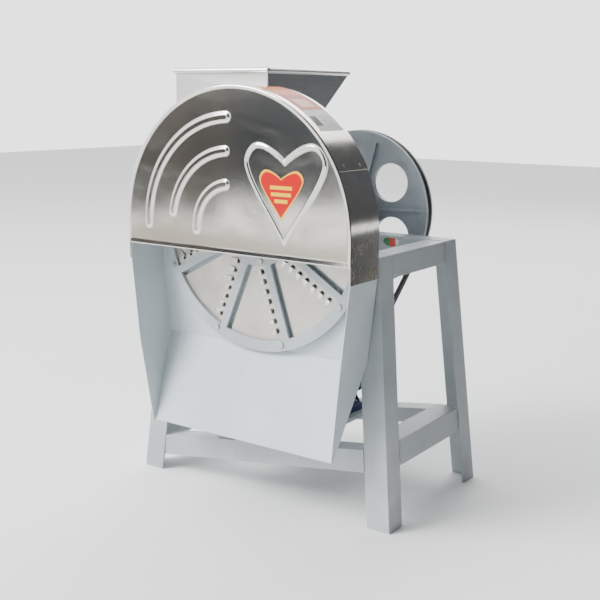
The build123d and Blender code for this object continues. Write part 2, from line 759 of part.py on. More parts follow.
def blade(index):
    """One grater plate between two spokes, with its slot, punched teeth and cutting lips."""
    front = disc_y + disc_frame_wall
    rear = front + blade_wall
    outer = blade_outer_radius
    inner = disc_flange_radius - 18
    sector = rod_y(outer, front, rear) - rod_y(inner, front - 1, rear + 1)
    step = 360 / spoke_count
    slot_edge = spoke_width / 2 + blade_slot
    far = outer * 2
    start = radians(-step)
    # The outline starts a slot's width past one spoke and ends behind the middle of the next.
    near = (slot_edge * -sin(start), slot_edge * cos(start))
    corners = [near, (near[0] + far * cos(start), near[1] + far * sin(start)), (far, -0.5), (0, -0.5)]
    plate = sector & prism_y(corners, front, rear)
    for i in range(tooth_count):
        radius = tooth_first_radius + tooth_pitch * i
        plate = plate + tooth(radius, front, rear) - tooth_mouth(radius, front, rear)
    for radius, angle in disc_screw_places()[:2]:
        local = angle - spoke_first_angle
        plate -= Rot(0, -local, 0) * rod_y(screw_radius, front - 1, rear + 1, radius, 0)
    return Pos(0, 0, shaft_z) * Rot(0, -spoke_angle(index), 0) * plate


def tooth(radius, front, rear):
    """A raised tongue on the front and a smaller cutting lip on the back."""
    base = -tooth_offset
    half = tooth_width / 2
    tip = base - tooth_length
    tongue = prism_y([(radius - half, base), (radius + half, base), (radius + 1, tip), (radius - 1, tip)],
                     front - tooth_height, front + 0.2)
    crest = front - tooth_height
    tongue &= prism_x([(front + 0.2, base), (crest, base), (crest + 1.3, base - 4), (front - 0.4, tip),
                       (front + 0.2, tip)], radius - half, radius + half)
    top = base + mouth_length
    end = top + cut_tooth_length
    lip = prism_y([(radius - half, top), (radius + half, top), (radius + 2, end), (radius - 2, end)],
                  rear - 0.2, rear + cut_tooth_height)
    lip &= prism_x([(rear - 0.2, top), (rear + cut_tooth_height, top), (rear + 0.3, end), (rear - 0.2, end)],
                   radius - half, radius + half)
    return tongue + lip


def tooth_mouth(radius, front, rear):
    half = mouth_width / 2
    return block(radius - half, radius + half, front - tooth_height, rear + cut_tooth_height, -tooth_offset,
                 -tooth_offset + mouth_length)


def plate_screws():
    pieces = []
    front = disc_y
    rear = disc_y + disc_frame_wall + blade_wall
    for radius, angle in disc_screw_places():
        screw = rod_y(screw_radius - 0.1, front, rear, radius, 0) + rod_y(5, front - 3, front, radius, 0)
        pieces.append(about_shaft(screw, angle))
    return pieces


def disc_nut():
    y = disc_y - disc_boss
    nut = hex_y(24, y - 16, y - 3, 0, 0) + rod_y(18, y - 3, y)
    nut -= rod_y(thread_radius + bore_gap, y - 20, y + 1)
    return Pos(0, 0, shaft_z) * nut


# ---------------------------------------------------------------- belt drive
def grooved_rim(radius, width):
    """Outline of a one-groove rim as (radius, y) points, from the front corner to the rear corner."""
    half = width / 2
    bottom_half = belt_bottom_width / 2 + groove_gap
    top_half = belt_top_width / 2 + groove_gap
    return [(radius, pulley_y - half), (radius, pulley_y - top_half),
            (radius - groove_depth, pulley_y - bottom_half), (radius - groove_depth, pulley_y + bottom_half),
            (radius, pulley_y + top_half), (radius, pulley_y + half)]


def big_pulley():
    rim_inner = rim_inner_radius
    half = pulley_width / 2
    rim = turned(grooved_rim(pulley_radius, pulley_width) + [(rim_inner, pulley_y + half),
                                                            (rim_inner, pulley_y - half)])
    web = rod_y(rim_inner + 1, pulley_y - web_wall / 2, pulley_y + web_wall / 2)
    for i in range(web_hole_count):
        angle = web_first_angle + 360 / web_hole_count * i
        web -= Rot(0, -angle, 0) * rod_y(web_hole_radius, pulley_y - 20, pulley_y + 20, web_hole_circle, 0)
    hub = rod_y(pulley_hub_radius, pulley_y - pulley_hub_length / 2, pulley_y + pulley_hub_length / 2)
    wheel = rim + web + hub
    for i in range(web_hole_count):
        angle = web_first_angle + 360 / web_hole_count * (i + 0.5)
        rib = block(pulley_hub_radius - 2, rim_inner + 1, pulley_y - half + 1, pulley_y + half - 1, -3, 3)
        wheel += Rot(0, -angle, 0) * rib
    wheel -= rod_y(shaft_radius + bore_gap, pulley_y - 40, pulley_y + 40)
    wheel = Pos(0, 0, shaft_z) * wheel
    return wheel - key_block(pulley_y, shaft_radius, shaft_z, 0, pulley_hub_length + 2)


def motor_pulley():
    half = pulley_width / 2
    bore = motor_shaft_radius + bore_gap
    outline = [(bore, pulley_y - half)] + grooved_rim(motor_pulley_radius, pulley_width)
    outline += [(24, pulley_y + half), (24, pulley_y + half + 8), (bore, pulley_y + half + 8)]
    wheel = turned(outline, motor_x, motor_z)
    return wheel - key_block(pulley_y, motor_shaft_radius, motor_z, motor_x, pulley_width + 30)


def belt_section(radius):
    """Belt cross-section as (radius, y) points for a pulley of the given rim radius."""
    back = radius - belt_seat
    return [(back, pulley_y - belt_top_width / 2), (back, pulley_y + belt_top_width / 2),
            (back - belt_height, pulley_y + belt_bottom_width / 2),
            (back - belt_height, pulley_y - belt_bottom_width / 2)]


def v_belt():
    """Two wrapped stretches and two straight runs of one belt."""
    dx = motor_x
    dz = motor_z - shaft_z
    span = hypot(dx, dz)
    line = degrees(atan2(dz, dx))
    # angle between the line of centres and the radius to where a run leaves a pulley
    half = degrees(atan2(sqrt(span ** 2 - (pulley_radius - motor_pulley_radius) ** 2),
                         pulley_radius - motor_pulley_radius))
    pieces = []
    for radius, x, z, start, sweep_angle in (
            (pulley_radius, 0, shaft_z, line + half, 360 - 2 * half),
            (motor_pulley_radius, motor_x, motor_z, line - half, 2 * half)):
        outline = Polyline(*[(r, y, 0) for r, y in belt_section(radius)], close=True)
        arc = revolve(make_face(outline), axis=-Axis.Y, revolution_arc=sweep_angle)
        pieces.append(Pos(x, 0, z) * Rot(0, -start, 0) * arc)
    run_length = sqrt(span ** 2 - (pulley_radius - motor_pulley_radius) ** 2)
    for side in (1, -1):
        angle = line + side * half
        direction = -side
        outline = Polyline(*[(r, y, 0) for r, y in belt_section(pulley_radius)], close=True)
        run = extrude(make_face(outline), amount=run_length, dir=(0, 0, direction))
        pieces.append(Pos(0, 0, shaft_z) * Rot(0, -angle, 0) * run)
    belt = pieces[0]
    for piece in pieces[1:]:
        belt += piece
    return belt


# ---------------------------------------------------------------- motor
def motor_plate():
    y0 = plate_end_y(-1)
    y1 = plate_end_y(1)
    half = base_plate_width / 2
    plate = block(-half, half, y0, y1, -base_plate_wall, 0)
    plate = on_motor_plate(fillet(plate.edges().filter_by(Axis.Z), 8))
    for side_y in (-1, 1):
        for hole in motor_plate_bolts(housing_bolt_radius + 0.5, -30, 30, side_y):
            plate -= hole
    for x, y in motor_foot_places():
        plate -= on_motor_plate(rod_z(5.0, -30, 10, x, y))
    return plate


def motor_foot_places():
    return [(side * motor_foot_pitch_x / 2, motor_mid_y + end * motor_foot_pitch_y / 2)
            for side in (-1, 1) for end in (-1, 1)]


def bolt_with_nut(radius, across, top, bottom, x, y):
    """A bolt whose head sits on top and whose nut sits under bottom."""
    bolt = rod_z(radius, bottom - 12, top, x, y) + hex_z(across, top, top + 6, x, y)
    return on_motor_plate(bolt + hex_z(across, bottom - 8, bottom, x, y))


def motor_base_bolts():
    pieces = []
    reach = base_plate_width / 2 - 22
    under = -base_plate_wall - angle_wall / cos(radians(motor_tilt)) - 0.05
    for side_y in (-1, 1):
        y = plate_end_y(side_y) - side_y * 16
        for side in (-1, 1):
            pieces.append(bolt_with_nut(4.8, 16, 0, under, side * reach, y))
    return pieces


def motor_foot_bolts():
    return [bolt_with_nut(4.4, 15, foot_wall, -base_plate_wall, x, y) for x, y in motor_foot_places()]


def motor_housing():
    """Ribbed body and cast feet; the body's axis is motor_height above the plate."""
    y0 = motor_front_y + 58
    y1 = motor_drive_y - 24
    body = rod_y(motor_body_radius, y0, y1, 0, motor_height)
    for i in range(motor_fin_count):
        angle = 360 / motor_fin_count * (i + 0.5)
        if 232 < angle < 308:
            continue
        fin = block(motor_body_radius - 2, motor_fin_radius, y0 + 4, y1 - 4, -1.4, 1.4)
        body += Pos(0, 0, motor_height) * Rot(0, -angle, 0) * fin
    for side in (-1, 1):
        near = motor_body_radius - 35
        x0, x1 = sorted((side * near, side * (motor_foot_pitch_x / 2 + 16)))
        foot = block(x0, x1, motor_mid_y - 80, motor_mid_y + 80, 0, foot_wall)
        rib = prism_y([(side * near, 0), (side * motor_body_radius, 0), (side * motor_body_radius, foot_wall),
                       (side * (motor_body_radius - 14), motor_height - 40), (side * near, motor_height - 50)],
                      motor_mid_y - 72, motor_mid_y + 72)
        body += foot + rib
    body -= rod_y(motor_body_radius - motor_body_wall, y0 - 1, y1 + 1, 0, motor_height)
    for x, y in motor_foot_places():
        body -= rod_z(5.0, -1, foot_wall + 1, x, y)
        body -= rod_z(9.0, foot_wall, foot_wall + spanner_room, x, y)
    return on_motor_plate(body)


def end_bell(y_body, direction):
    """A dished end casting with a bearing boss and four lugs."""
    edge = sorted((y_body, y_body + direction * 14))
    dish = rod_y(motor_body_radius + 3, *edge, 0, motor_height)
    boss = sorted((y_body, y_body + direction * 24))
    dish += rod_y(34, *boss, 0, motor_height)
    for i in range(4):
        lug = rod_y(9, *edge, motor_body_radius - 2, 0)
        dish += Pos(0, 0, motor_height) * Rot(0, 45 + 90 * i, 0) * lug
    far = sorted((y_body - direction * 1, y_body + direction * 40))
    dish -= rod_y(motor_shaft_radius + 0.5, *far, 0, motor_height)
    return on_motor_plate(dish)


def fan_cover():
    y0 = motor_front_y
    y1 = motor_front_y + 44
    shell = rod_y(motor_body_radius + 4, y0, y1, 0, motor_height)
    shell = fillet(shell.edges().group_by(Axis.Y)[0], 14)
    hollow = rod_y(motor_body_radius + 1, y0 + 2, y1 + 1, 0, motor_height)
    shell -= fillet(hollow.edges().group_by(Axis.Y)[0], 12)
    for ring_radius, count in ((22, 8), (38, 14), (54, 20)):
        for i in range(count):
            hole = rod_y(4, y0 - 1, y0 + 3, ring_radius, 0)
            shell -= Pos(0, 0, motor_height) * Rot(0, 360 / count * i, 0) * hole
    return on_motor_plate(shell)


def motor_fan():
    y0 = motor_front_y + 12
    y1 = y0 + 18
    fan = rod_y(20, y0, y1) - rod_y(9.02, y0 - 1, y1 + 1)
    reach = motor_body_radius - 14
    fan += rod_y(reach, y1 - 3, y1) - rod_y(19, y1 - 4, y1 + 1)
    for i in range(7):
        fan += Rot(0, 360 / 7 * i, 0) * block(18, reach - 2, y0, y1, -1.5, 1.5)
    return Pos(motor_x, 0, motor_z) * fan


def motor_shaft():
    shaft = rod_y(motor_shaft_radius, motor_front_y + 36, pulley_y + pulley_width / 2 + 10)
    shaft += rod_y(9, motor_front_y + 10, motor_front_y + 36)
    shaft += rod_y(rotor_radius, motor_front_y + 84, motor_drive_y - 50)
    shaft = Pos(motor_x, 0, motor_z) * shaft
    return shaft - key_block(pulley_y, motor_shaft_radius, motor_z, motor_x, pulley_width)


def motor_stator():
    """Wound core that fills the housing around the rotor, with a winding head at each end."""
    outer = motor_body_radius - motor_body_wall - fit_gap / 3
    inner = rotor_radius + stator_gap
    core = rod_y(outer, motor_front_y + 84, motor_drive_y - 50, 0, motor_height)
    heads = rod_y(outer - 6, motor_front_y + 68, motor_drive_y - 34, 0, motor_height)
    stack = core + heads - rod_y(inner, motor_front_y, motor_drive_y, 0, motor_height)
    return on_motor_plate(stack)


def terminal_box():
    """Connection box on the left flank of the body, with a cable inlet at the bottom."""
    box = block(-motor_fin_radius - 36, -motor_fin_radius - 0.3, motor_mid_y - 42, motor_mid_y + 42,
                motor_height - 10, motor_height + 60)
    box = fillet(box.edges().filter_by(Axis.X), 6)
    gland = rod_z(9, motor_height - 24, motor_height - 10, -motor_fin_radius - 18, motor_mid_y)
    gland += hex_z(20, motor_height - 16, motor_height - 10, -motor_fin_radius - 18, motor_mid_y)
    return on_motor_plate(box + gland - rod_z(5, motor_height - 30, motor_height - 6,
                                              -motor_fin_radius - 18, motor_mid_y))


def capacitor():
    """Start capacitor on top of the body, in its own can."""
    z = motor_height + motor_fin_radius + 18.3
    can = rod_y(18, motor_mid_y - 50, motor_mid_y + 50, 20, z)
    can = fillet(can.edges().filter_by(GeomType.CIRCLE), 4)
    return on_motor_plate(can)


def rail_sticker():
    """A small oval sticker on the inner face of the rear top rail's leaning web."""
    outer = stand_centre_y + stand_half_depth
    web_height = rail_flange - angle_wall
    lean = leg_lean_y * rail_flange
    down = sticker_drop - angle_wall
    y = outer - angle_wall + lean * down / web_height
    middle = (sticker_x, y, stand_top - sticker_drop)
    face = Plane(origin=middle, x_dir=(1, 0, 0), z_dir=(0, -web_height, -lean))
    return face * extrude(Ellipse(sticker_half_length, sticker_half_height), amount=decal_thickness)


# ---------------------------------------------------------------- build
def main():
    os.makedirs("parts", exist_ok=True)
    for side_y, end in ((-1, "front"), (1, "rear")):
        for side_x, flank in ((-1, "left"), (1, "right")):
            save(f"leg_{end}_{flank}", leg(side_x, side_y))
        save(f"top_rail_{end}", top_cross_rail(side_y))
        save(f"lower_rail_{end}", cross_rail(side_y))
    save("top_rail_left", side_rail(-1, stand_top, rail_flange))
    save("top_rail_right", side_rail(1, stand_top, rail_flange))
    save("lower_rail_left", side_rail(-1, side_rail_top_left, leg_flange))
    save("lower_rail_right", side_rail(1, side_rail_top_right, leg_flange))

    save("back_plate", back_plate())
    save("back_plate_packer", back_plate_packer())
    save("back_plate_bolts", *back_plate_bolts())
    save("side_panel_left", side_panel(-1))
    save("side_panel_right", side_panel(1))
    save("chute_panel", chute_panel())

    save("cover_face", cover_face())
    upper, left, right = cover_bands()
    save("cover_band_upper", upper)
    save("cover_band_left", left)
    save("cover_band_right", right)
    save("cover_rivets", *cover_rivets())
    save("heart_decal", heart_decal())
    save("band_label", band_label())
    save("rail_sticker", rail_sticker())

    save("hopper_front", hopper_front())
    save("hopper_rear", hopper_rear())
    left_inner = hopper_left + hopper_wall
    right_inner = hopper_right - hopper_wall
    save("hopper_left", hopper_side(hopper_left, left_inner, left_inner))
    save("hopper_right", hopper_side(right_inner, hopper_right, right_inner))
    save("hopper_rim", hopper_rim())
    save("hopper_bolts", *hopper_bolts())

    bearing_places = (front_bearing_y, rear_bearing_y)
    save("bearing_housing_front", bearing_housing(front_bearing_y))
    save("bearing_housing_rear", bearing_housing(rear_bearing_y))
    save("bearing_outer_rings", *[bearing_outer_ring(y) for y in bearing_places])
    save("bearing_inner_rings", *[bearing_inner_ring(y) for y in bearing_places])
    save("bearing_balls", *[ball for y in bearing_places for ball in bearing_balls(y)])
    save("grease_nipples", *[grease_nipple(y) for y in bearing_places])
    save("bearing_bolts", *bearing_bolts())

    save("main_shaft", main_shaft())
    save("cutting_disc", cutting_disc())
    save("grater_plates", *[blade(i) for i in range(spoke_count)])
    save("plate_screws", *plate_screws())
    save("disc_nut", disc_nut())
    save("big_pulley", big_pulley())
    save("pulley_key", key_block(pulley_y, shaft_radius, shaft_z, 0, pulley_hub_length))

    save("v_belt", v_belt())
    save("motor_pulley", motor_pulley())
    save("motor_key", key_block(pulley_y, motor_shaft_radius, motor_z, motor_x, pulley_width))
    save("motor_base_plate", motor_plate())
    save("motor_bolts", *motor_base_bolts(), *motor_foot_bolts())
    save("motor_housing", motor_housing())
    save("motor_end_bell_drive", end_bell(motor_drive_y - 24, 1))
    save("motor_end_bell_fan", end_bell(motor_front_y + 58, -1))
    save("motor_fan_cover", fan_cover())
    save("motor_fan", motor_fan())
    save("motor_shaft", motor_shaft())
    save("motor_stator", motor_stator())
    save("motor_terminal_box", terminal_box())
    save("motor_capacitor", capacitor())


main()
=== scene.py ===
# Belt-driven disc shredder: materials, finished sheet metal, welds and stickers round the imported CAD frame.
import json
from math import cos, pi, radians, sin

import bmesh
import bpy
import numpy as np
from mathutils import Matrix, Vector, noise


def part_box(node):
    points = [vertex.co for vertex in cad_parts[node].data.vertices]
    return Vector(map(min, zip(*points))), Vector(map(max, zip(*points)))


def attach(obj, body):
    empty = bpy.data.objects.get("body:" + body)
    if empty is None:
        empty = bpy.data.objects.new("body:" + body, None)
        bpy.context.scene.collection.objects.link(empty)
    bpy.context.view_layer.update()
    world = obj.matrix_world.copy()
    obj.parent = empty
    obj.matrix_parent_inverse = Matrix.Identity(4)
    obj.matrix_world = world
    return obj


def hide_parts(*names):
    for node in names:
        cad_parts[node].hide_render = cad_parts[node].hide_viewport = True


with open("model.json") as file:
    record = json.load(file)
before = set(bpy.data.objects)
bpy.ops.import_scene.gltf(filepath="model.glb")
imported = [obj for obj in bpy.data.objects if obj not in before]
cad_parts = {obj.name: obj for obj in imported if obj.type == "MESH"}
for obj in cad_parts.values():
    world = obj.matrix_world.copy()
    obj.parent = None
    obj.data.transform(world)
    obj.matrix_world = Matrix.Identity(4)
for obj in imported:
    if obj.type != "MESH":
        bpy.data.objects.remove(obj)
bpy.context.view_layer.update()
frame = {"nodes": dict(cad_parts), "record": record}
print("frame loaded")


# small tools
def linear(r, g, b):
    # screen colour 0-255 to the linear colour that shaders take
    out = []
    for c in (r, g, b):
        c /= 255
        out.append(c / 12.92 if c <= 0.04045 else ((c + 0.055) / 1.055) ** 2.4)
    return (*out, 1.0)


class Val:
    # a socket in a material's node tree; arithmetic on it adds Math nodes
    def __init__(self, paint, socket):
        self.paint = paint
        self.socket = socket

    def maths(self, operation, *others):
        return self.paint.node("ShaderNodeMath", {"operation": operation}, dict(enumerate((self, *others))))

    def __add__(self, other):
        return self.maths("ADD", other)

    def __sub__(self, other):
        return self.maths("SUBTRACT", other)

    def __mul__(self, other):
        return self.maths("MULTIPLY", other)

    def __truediv__(self, other):
        return self.maths("DIVIDE", other)

    def __pow__(self, other):
        return self.maths("POWER", other)

    def __rsub__(self, other):
        return self.paint.node("ShaderNodeMath", {"operation": "SUBTRACT"}, {0: other, 1: self})

    __radd__ = __add__
    __rmul__ = __mul__

    def within(self, low, high):
        # smooth step from 0 at low to 1 at high
        return self.paint.node("ShaderNodeMapRange", {"interpolation_type": "SMOOTHSTEP"},
                               {"Value": self, "From Min": low, "From Max": high})

    def wave(self):
        return self.maths("SINE")


class Paint:
    # one material: a Principled shader and short ways to feed it
    def __init__(self, name, metallic=0.0, **fixed):
        self.material = bpy.data.materials.new(name)
        self.material.use_nodes = True
        self.tree = self.material.node_tree
        self.shader = self.tree.nodes["Principled BSDF"]
        self.shader.inputs["Metallic"].default_value = metallic
        for key, value in fixed.items():
            self.shader.inputs[key.replace("_", " ")].default_value = value
        self.place = self.node("ShaderNodeTexCoord", {}, {}, "Object")
        parts = self.node("ShaderNodeSeparateXYZ", {}, {0: self.place}, every=True)
        self.x, self.y, self.z = parts

    def node(self, kind, settings, inputs, output=0, every=False):
        made = self.tree.nodes.new(kind)
        for key, value in settings.items():
            if key == "stops":
                ramp = made.color_ramp
                while len(ramp.elements) > 1:
                    ramp.elements.remove(ramp.elements[-1])
                for index, (place, colour) in enumerate(value):
                    element = ramp.elements[0] if index == 0 else ramp.elements.new(place)
                    element.position = place
                    element.color = colour
            else:
                setattr(made, key, value)
        for key, value in inputs.items():
            if isinstance(value, Val):
                self.tree.links.new(value.socket, made.inputs[key])
            else:
                made.inputs[key].default_value = value
        if every:
            return [Val(self, socket) for socket in made.outputs]
        return Val(self, made.outputs[output])

    def noise(self, scale, detail=3.0, rough=0.5, stretch=None, warp=0.0):
        place = self.place
        if stretch:
            place = self.node("ShaderNodeMapping", {}, {"Vector": place, "Scale": stretch})
        return self.node("ShaderNodeTexNoise", {}, {"Vector": place, "Scale": scale, "Detail": detail,
                                                   "Roughness": rough, "Distortion": warp})

    def ramp(self, value, *stops):
        return self.node("ShaderNodeValToRGB", {"stops": stops}, {"Fac": value})

    def mix(self, mask, low, high):
        return self.node("ShaderNodeMix", {"data_type": "RGBA"}, {0: mask, 6: low, 7: high}, 2)

    def feed(self, **links):
        for key, value in links.items():
            socket = self.shader.inputs[key.replace("_", " ")]
            if isinstance(value, Val):
                self.tree.links.new(value.socket, socket)
            else:
                socket.default_value = value
        return self

    def bump(self, height, strength=0.3, distance=0.001):
        inputs = {"Height": height, "Strength": strength, "Distance": distance}
        normal = self.node("ShaderNodeBump", {}, inputs)
        self.tree.links.new(normal.socket, self.shader.inputs["Normal"])
        return self


def newObject(name, bm, material, body="root", smooth=35.0):
    # turn a bmesh into a finished piece that rides on a CAD body
    bmesh.ops.recalc_face_normals(bm, faces=bm.faces)
    mesh = bpy.data.meshes.new(name)
    bm.to_mesh(mesh)
    bm.free()
    return finishObject(name, mesh, material, body, smooth)


def finishObject(name, mesh, material, body, smooth):
    for one in (material if isinstance(material, (list, tuple)) else [material]):
        mesh.materials.append(one)
    if smooth:
        mesh.shade_smooth()
        mesh.set_sharp_from_angle(angle=radians(smooth))
    piece = bpy.data.objects.new(name, mesh)
    bpy.context.scene.collection.objects.link(piece)
    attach(piece, body)
    return piece


nodeBody = {node: body for body, nodes in frame["record"]["behaviour"]["bodies"].items() for node in nodes}


def softEdged(node, material, width=0.0008, angle=38.0, smooth=38.0, segments=2):
    # a welded copy of a CAD node with its sharp edges rounded off
    bm = bmesh.new()
    bm.from_mesh(frame["nodes"][node].data)
    for old in list(bm.faces):
        old.material_index = 0
    bmesh.ops.remove_doubles(bm, verts=bm.verts, dist=0.00002)
    bmesh.ops.dissolve_degenerate(bm, dist=0.00002, edges=bm.edges)
    bmesh.ops.dissolve_limit(bm, angle_limit=radians(0.6), verts=bm.verts, edges=bm.edges)
    mesh = bpy.data.meshes.new(node + "_finish")
    bm.to_mesh(mesh)
    bm.free()
    piece = finishObject(node + "_finish", mesh, material, nodeBody[node], smooth)
    if width:
        bevel = piece.modifiers.new("edges", "BEVEL")
        bevel.width = width
        bevel.segments = segments
        bevel.limit_method = "ANGLE"
        bevel.angle_limit = radians(angle)
        bevel.harden_normals = True
        bevel.use_clamp_overlap = True
    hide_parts(node)
    return piece


# places read from the frame
faceLow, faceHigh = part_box("cover_face")
coverHalf = (faceHigh[0] - faceLow[0]) / 2
arcZ = faceHigh[2] - coverHalf
coverBottom = faceLow[2]
discLow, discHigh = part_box("cutting_disc")
shaftZ = (discLow[2] + discHigh[2]) / 2


# camera
camera = {
    "place": (1.0586, -1.5379, 0.7301),
    "turn": 34.8,        # degrees to the left of straight ahead
    "down": 11.6,
    "roll": 0.5,
    "lens": 60.19,
}


def makeCamera(values):
    turn, down, roll = (radians(values[key]) for key in ("turn", "down", "roll"))
    ahead = Vector((-sin(turn) * cos(down), cos(turn) * cos(down), -sin(down)))
    side = Vector((cos(turn), sin(turn), 0))
    above = side.cross(ahead)
    right = side * cos(roll) + above * sin(roll)
    up = above * cos(roll) - side * sin(roll)
    data = bpy.data.cameras.new("camera")
    data.lens = values["lens"]
    data.clip_end = 50
    holder = bpy.data.objects.new("camera", data)
    basis = Matrix((right, up, -ahead)).transposed().to_4x4()
    holder.matrix_world = Matrix.Translation(values["place"]) @ basis
    bpy.context.scene.collection.objects.link(holder)
    bpy.context.scene.camera = holder


makeCamera(camera)
print("camera set")


# studio
studio = {
    "bright": (0.97, 0.985, 1.0, 1),
    "dim": (0.05, 0.052, 0.055, 1),
    "dimFrom": -0.28,        # the sky turns dim towards +X
    "dimTo": 0.03,
    "skyStrength": 2.7,
    "keyPlace": (-2.6, -3.2, 3.6),
    "keySize": 2.6,
    "keyPower": 380,
    "backPlace": (-0.6, 3.4, 3.2),
    "backSize": 3.0,
    "backPower": 90,
}


def makeStudio(values):
    world = bpy.data.worlds.new("studio")
    world.use_nodes = True
    tree = world.node_tree
    back = tree.nodes["Background"]
    back.inputs["Strength"].default_value = values["skyStrength"]
    way = tree.nodes.new("ShaderNodeTexCoord")
    parts = tree.nodes.new("ShaderNodeSeparateXYZ")
    fall = tree.nodes.new("ShaderNodeMapRange")
    fall.interpolation_type = "SMOOTHSTEP"
    fall.inputs["From Min"].default_value = values["dimFrom"]
    fall.inputs["From Max"].default_value = values["dimTo"]
    blend = tree.nodes.new("ShaderNodeMix")
    blend.data_type = "RGBA"
    blend.inputs[6].default_value = values["bright"]
    blend.inputs[7].default_value = values["dim"]
    tree.links.new(way.outputs["Generated"], parts.inputs[0])
    tree.links.new(parts.outputs[0], fall.inputs["Value"])
    tree.links.new(fall.outputs[0], blend.inputs[0])
    tree.links.new(blend.outputs[2], back.inputs["Color"])
    bpy.context.scene.world = world
    for name in ("key", "back"):
        data = bpy.data.lights.new(name, "AREA")
        data.shape = "DISK"
        data.size = values[name + "Size"]
        data.energy = values[name + "Power"]
        lamp = bpy.data.objects.new(name, data)
        place = Vector(values[name + "Place"])
        aim = Vector((0, 0, 0.4)) - place
        lamp.matrix_world = Matrix.Translation(place) @ aim.to_track_quat("-Z", "Y").to_matrix().to_4x4()
        bpy.context.scene.collection.objects.link(lamp)
    floorPaint = Paint("floor", Roughness=0.75)
    floorPaint.feed(Base_Color=floorPaint.ramp(floorPaint.noise(3.0, 4), (0.3, (0.955, 0.955, 0.95, 1)),
                                               (0.7, (0.975, 0.975, 0.97, 1))))
    bm = bmesh.new()
    bmesh.ops.create_grid(bm, x_segments=1, y_segments=1, size=9.0)
    mesh = bpy.data.meshes.new("floor")
    bm.to_mesh(mesh)
    bm.free()
    mesh.materials.append(floorPaint.material)
    floor = bpy.data.objects.new("floor", mesh)
    bpy.context.scene.collection.objects.link(floor)


makeStudio(studio)


# studio cards, hidden from the camera
# they are seen in reflections only, apart from the last, which also keeps soft light off the right-hand sides
# the polished cover mirrors dark, wall, left, middle and mat; the band mirrors side, right and strip
flags = {
    "dark": {"place": (-1.77, -2.86, 0.52), "size": (0.76, 0.62), "face": (0, 1, 0),
        "tone": linear(32, 40, 48), "soaks": False},
    "wall": {"place": (-2.53, -3.0, 0.52), "size": (0.78, 0.66), "face": (0, 1, 0),
        "tone": linear(104, 95, 87), "soaks": False},
    "mat": {"place": (-1.95, -2.45, 0.004), "size": (2.0, 1.2), "face": (0, 0, 1),
        "tone": linear(150, 145, 130), "soaks": False},
    "strip": {"place": (0.78, 0.76, 0.47), "size": (0.5, 0.07), "face": (-1, 0, 0),
        "tone": linear(240, 240, 240), "soaks": False},
    "left": {"place": (-2.78, -2.9, 0.38), "size": (0.34, 0.62), "face": (0.6, 1, 0),
        "tone": linear(52, 50, 48), "soaks": False},
    "middle": {"place": (-2.36, -2.9, 0.42), "size": (0.22, 0.70), "face": (0.6, 1, 0),
        "tone": linear(64, 62, 60), "soaks": False},
    "side": {"place": (3.0, 2.6, 1.0), "size": (3.0, 4.5), "face": (-1, -0.9, 0),
        "tone": linear(38, 46, 54), "soaks": False},
    "right": {"place": (0.80, 0.33, 0.66), "size": (1.35, 1.75), "face": (-1, 0, 0),
        "tone": linear(26, 28, 32), "soaks": True},
}


def makeFlags(values):
    for name, flag in values.items():
        paint = Paint("flag" + name.capitalize(), Roughness=0.9)
        paint.feed(Base_Color=flag["tone"])
        bm = bmesh.new()
        bmesh.ops.create_grid(bm, x_segments=1, y_segments=1, size=0.5)
        bmesh.ops.scale(bm, vec=(*flag["size"], 1), verts=bm.verts)
        turn = Vector(flag["face"]).to_track_quat("Z", "Y").to_matrix().to_4x4()
        bmesh.ops.transform(bm, matrix=Matrix.Translation(flag["place"]) @ turn, verts=bm.verts)
        mesh = bpy.data.meshes.new("flag_" + name)
        bm.to_mesh(mesh)
        bm.free()
        mesh.materials.append(paint.material)
        card = bpy.data.objects.new("flag_" + name, mesh)
        card.visible_camera = False
        card.visible_shadow = False
        card.visible_diffuse = flag["soaks"]
        bpy.context.scene.collection.objects.link(card)


makeFlags(flags)
print("studio set")


# materials
def enamel(name, light, dark, wear=0.5, roughness=0.42, grain=90.0):
    # sprayed enamel on steel: soft mottling, orange peel, dust low down and small chips
    paint = Paint(name)
    broad = paint.noise(5.0, 5, 0.6)
    colour = paint.mix(broad.within(0.3, 0.7), dark, light)
    streaks = paint.noise(9.0, 6, 0.65, (6, 6, 0.7))
    colour = paint.mix(streaks.within(0.56, 0.80) * 0.22, colour, linear(126, 124, 118))
    chips = paint.noise(70.0, 5, 0.7, warp=0.4).within(0.70, 0.74) * paint.noise(6.0, 2).within(0.5, 0.62)
    colour = paint.mix(chips * wear, colour, linear(96, 86, 78))
    dust = (1.0 - paint.z.within(0.0, 0.16)) * paint.noise(22.0, 5, 0.6).within(0.35, 0.75)
    colour = paint.mix(dust * 0.5 * wear, colour, linear(142, 132, 118))
    paint.feed(Base_Color=colour, Roughness=roughness + 0.16 * (broad - 0.5) + 0.25 * dust)
    peel = paint.noise(grain * 4, 2) * 0.5 + paint.noise(grain, 3) + paint.noise(14.0, 2) * 2.0
    return paint.bump(peel - chips * 0.6, 0.22, 0.0006)


frameEnamel = enamel("frameEnamel", linear(186, 193, 196), linear(158, 166, 170)).material
panelEnamel = enamel("panelEnamel", linear(205, 215, 219), linear(190, 201, 206), 0.35, 0.34).material
discEnamel = enamel("discEnamel", linear(190, 199, 204), linear(160, 169, 174), 0.5, 0.42, 140.0).material


